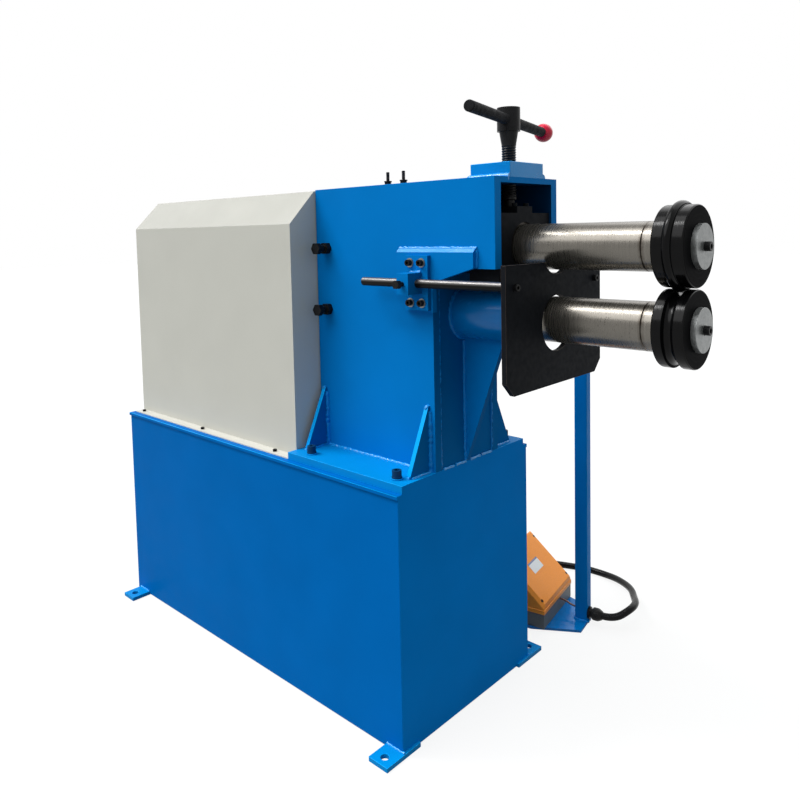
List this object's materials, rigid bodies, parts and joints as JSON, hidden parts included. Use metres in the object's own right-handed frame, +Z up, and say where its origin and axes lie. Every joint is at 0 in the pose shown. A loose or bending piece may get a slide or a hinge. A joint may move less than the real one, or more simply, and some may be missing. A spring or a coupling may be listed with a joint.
{
  "type": "tube beading machine",
  "caption": "Floor standing tube beading machine: cabinet, hollow arm, paired shafts with bead and groove rollers, screw feed, depth stop, covered drive and foot switch.",
  "frame": {"origin": "on the floor, at the centre of the four floor bolt holes of the cabinet", "axes": "+X along the machine towards the rollers, +Y to the side of the foot switch, +Z up"},
  "size_m": [1.916, 1.2466, 1.569],
  "materials": {
    "machine_blue": "glossy blue machine paint with weld beads under it",
    "cover_grey": "light warm grey sheet paint",
    "black_oxide": "black oxide, slightly oily",
    "dark_iron": "dark oiled iron with worn edges",
    "turned_steel": "turned steel with fine rings",
    "dull_steel": "dull drawn steel",
    "roller_black": "blackened and polished tool steel",
    "zinc_plate": "zinc plated steel",
    "bronze": "bearing bronze",
    "drive_grey": "grey machine paint",
    "box_grey": "light grey moulded box",
    "pedal_grey": "dark grey paint",
    "hood_orange": "orange moulded hood",
    "black_plastic": "black moulded plastic",
    "cable_black": "black cable sheath",
    "lead_brown": "brown lead sheath",
    "ball_red": "glossy red plastic"
  },
  "bodies": {
    "machine_frame": {"cabinet_shell": "machine_blue", "foot_tabs": "machine_blue", "access_panel": "machine_blue", "control_panel": "zinc_plate", "body_base_plate": "machine_blue", "near_side_plate": "machine_blue", "far_side_plate": "machine_blue", "arm_top_plate": "machine_blue", "column_front_plate": "machine_blue", "column_gussets": "machine_blue", "lower_bearing_boss": "machine_blue", "screw_nut_block": "machine_blue", "gauge_brackets": "machine_blue", "rod_clamps": "machine_blue", "clamp_bolts": "black_oxide", "clamp_washers": "zinc_plate", "base_bolts": "black_oxide", "arm_top_studs": "black_oxide", "pivot_bolts": "black_oxide", "lower_rear_block": "dark_iron", "lower_bushes": "bronze", "gear_cover": "cover_grey", "cover_screws": "zinc_plate", "gearmotor_stand": "machine_blue", "reducer_housing": "drive_grey", "motor_housing": "drive_grey", "pedal_stand": "machine_blue", "control_box": "box_grey", "pedal_base": "pedal_grey", "pedal_hood": "hood_orange", "cable_glands": "black_plastic", "control_cable": "cable_black", "pedal_lead": "lead_brown"},
    "lower_shaft": {"lower_shaft": "turned_steel", "lower_gear": "turned_steel", "lower_roller": "roller_black", "lower_retainer": "zinc_plate", "shaft_coupling": "dark_iron", "reducer_output": "turned_steel"},
    "upper_carrier": {"bearing_block": "dark_iron", "upper_bushes": "bronze", "screw_keeper": "dark_iron", "rear_trunnion_block": "dark_iron"},
    "upper_shaft": {"upper_shaft": "turned_steel", "upper_gear": "turned_steel", "upper_roller": "roller_black", "upper_retainer": "zinc_plate"},
    "thrust_pad": {"thrust_pad": "turned_steel"},
    "pressure_screw": {"pressure_screw": "black_oxide", "handle_bar": "black_oxide", "handle_knob": "ball_red"},
    "depth_gauge": {"stop_plate": "dark_iron", "gauge_rods": "dull_steel"},
    "near_lock_screw": {"near_lock_screw": "black_oxide"},
    "far_lock_screw": {"far_lock_screw": "black_oxide"},
    "treadle": {"treadle": "pedal_grey", "treadle_spring": "dull_steel"},
    "emergency_button": {"emergency_button": "ball_red"},
    "motor_rotor": {"motor_rotor": "turned_steel"},
    "reducer_layshaft": {"reducer_layshaft": "turned_steel"}
  },
  "joints": [
    {"name": "lower_spin", "type": "hinge", "parent": "machine_frame", "child": "lower_shaft", "pos_m": [0.9, 0, 1.062], "axis": [1, 0, 0], "continuous": true},
    {"name": "upper_tilt", "type": "hinge", "parent": "machine_frame", "child": "upper_carrier", "pos_m": [0.2555, 0, 1.233], "axis": [0, -1, 0], "range_deg": [-0.1, 2.9]},
    {"name": "upper_spin", "type": "hinge", "parent": "upper_carrier", "child": "upper_shaft", "pos_m": [0.9, 0, 1.233], "axis": [1, 0, 0], "continuous": true},
    {"name": "screw_lift", "type": "slide", "parent": "machine_frame", "child": "thrust_pad", "axis": [0, 0, 1], "range_m": [-0.0009, 0.026]},
    {"name": "screw_turn", "type": "hinge", "parent": "thrust_pad", "child": "pressure_screw", "pos_m": [0.7725, 0, 1.54], "axis": [0, 0, 1], "range_deg": [-48, 1500]},
    {"name": "gauge_slide", "type": "slide", "parent": "machine_frame", "child": "depth_gauge", "axis": [1, 0, 0], "range_m": [-0.06, 0.11]},
    {"name": "near_lock_turn", "type": "hinge", "parent": "machine_frame", "child": "near_lock_screw", "pos_m": [0.606, -0.22, 1.149], "axis": [0, 1, 0], "range_deg": [-180, 360]},
    {"name": "far_lock_turn", "type": "hinge", "parent": "machine_frame", "child": "far_lock_screw", "pos_m": [0.606, 0.22, 1.149], "axis": [0, -1, 0], "range_deg": [-180, 360]},
    {"name": "treadle_press", "type": "hinge", "parent": "machine_frame", "child": "treadle", "pos_m": [0.55797, 0.55168, 0.042], "axis": [0.1736, -0.9848, 0], "range_deg": [0, 8], "stiffness_Nm_per_rad": 20, "springref_deg": -11.46, "deforming": ["treadle_spring"]},
    {"name": "emergency_press", "type": "slide", "parent": "machine_frame", "child": "emergency_button", "axis": [0, 0, -1], "range_m": [0, 0.005]},
    {"name": "motor_spin", "type": "hinge", "parent": "machine_frame", "child": "motor_rotor", "pos_m": [-0.3, 0, 1.062], "axis": [1, 0, 0], "continuous": true},
    {"name": "layshaft_spin", "type": "hinge", "parent": "machine_frame", "child": "reducer_layshaft", "pos_m": [-0.03, 0, 0.952], "axis": [1, 0, 0], "continuous": true}
  ],
  "couplings": [
    {"joint": "upper_spin", "follows": "lower_spin", "ratio": -1},
    {"joint": "layshaft_spin", "follows": "lower_spin", "ratio": -5.1538},
    {"joint": "motor_spin", "follows": "lower_spin", "ratio": 35.341},
    {"joint": "screw_lift", "follows": "screw_turn", "m_per_rad": 0.00095493},
    {"joint": "upper_tilt", "follows": "screw_turn", "ratio": 0.0018471}
  ]
}
